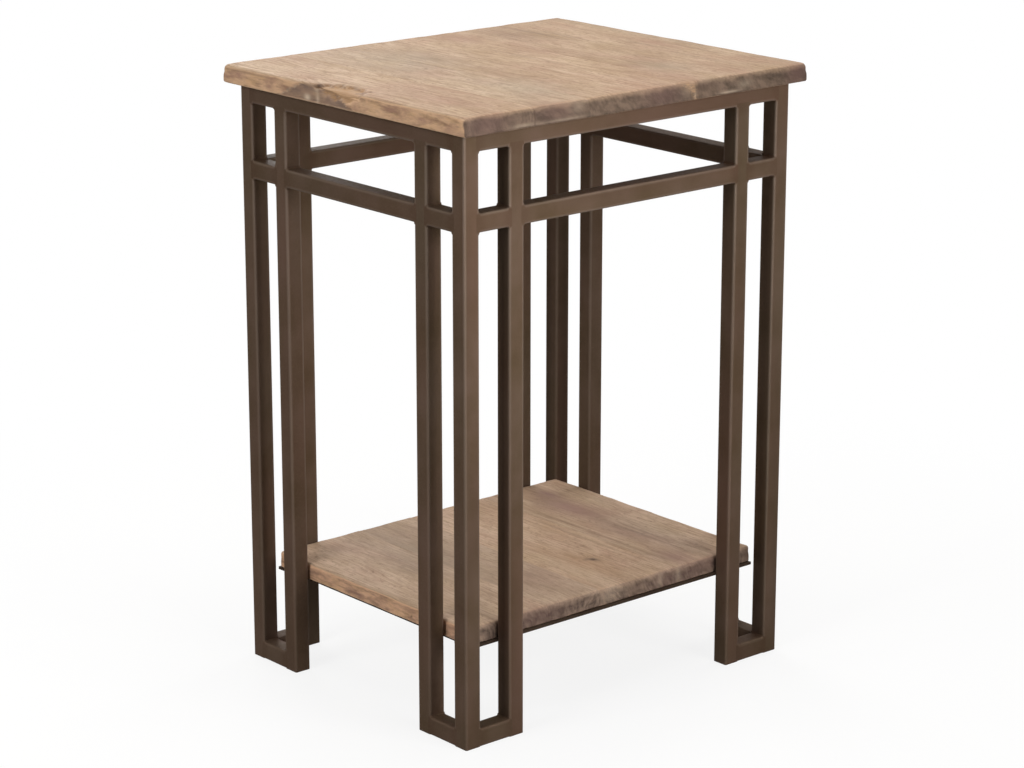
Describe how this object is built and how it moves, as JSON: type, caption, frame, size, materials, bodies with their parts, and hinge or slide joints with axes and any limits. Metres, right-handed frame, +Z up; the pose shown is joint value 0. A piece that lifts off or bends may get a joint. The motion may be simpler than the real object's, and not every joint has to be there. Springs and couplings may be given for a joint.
{
  "type": "chairside table",
  "caption": "Small chairside table with a welded bronze square-tube frame, slotted corner legs, an open apron band, a worn plank top and a low plank shelf.",
  "frame": {"origin": "on the floor, under the middle of the frame", "axes": "+X to the right along the long side, +Y from front to back, +Z up"},
  "size_m": [0.462, 0.391, 0.648],
  "materials": {
    "bronze_coat": "dark bronze powder coat, satin, faint orange peel",
    "top_wood": "pale washed plank wood, matt, worn edges",
    "shelf_wood": "pale washed plank wood, matt, worn edges",
    "screw_steel": "zinc plated",
    "plug_plastic": "moulded black"
  },
  "bodies": {
    "root": {"apron_link_back_left": "bronze_coat", "apron_link_back_right": "bronze_coat", "apron_link_front_left": "bronze_coat", "apron_link_front_right": "bronze_coat", "apron_link_left_back": "bronze_coat", "apron_link_left_front": "bronze_coat", "apron_link_right_back": "bronze_coat", "apron_link_right_front": "bronze_coat", "apron_rail_back": "bronze_coat", "apron_rail_front": "bronze_coat", "apron_rail_left": "bronze_coat", "apron_rail_right": "bronze_coat", "corner_post_back_left": "bronze_coat", "corner_post_back_right": "bronze_coat", "corner_post_front_left": "bronze_coat", "corner_post_front_right": "bronze_coat", "foot_bar_back_left": "bronze_coat", "foot_bar_back_right": "bronze_coat", "foot_bar_front_left": "bronze_coat", "foot_bar_front_right": "bronze_coat", "foot_bar_left_back": "bronze_coat", "foot_bar_left_front": "bronze_coat", "foot_bar_right_back": "bronze_coat", "foot_bar_right_front": "bronze_coat", "post_plugs": "plug_plastic", "shelf_bar_back": "bronze_coat", "shelf_bar_front": "bronze_coat", "shelf_bar_left": "bronze_coat", "shelf_bar_right": "bronze_coat", "shelf_plank_1": "shelf_wood", "shelf_plank_2": "shelf_wood", "shelf_plank_3": "shelf_wood", "shelf_plank_4": "shelf_wood", "shelf_screws": "screw_steel", "side_post_back_left": "bronze_coat", "side_post_back_right": "bronze_coat", "side_post_front_left": "bronze_coat", "side_post_front_right": "bronze_coat", "side_post_left_back": "bronze_coat", "side_post_left_front": "bronze_coat", "side_post_right_back": "bronze_coat", "side_post_right_front": "bronze_coat", "top_plank_1": "top_wood", "top_plank_2": "top_wood", "top_plank_3": "top_wood", "top_plank_4": "top_wood", "top_rail_back": "bronze_coat", "top_rail_front": "bronze_coat", "top_rail_left": "bronze_coat", "top_rail_right": "bronze_coat", "top_screws": "screw_steel"}
  },
  "joints": []
}
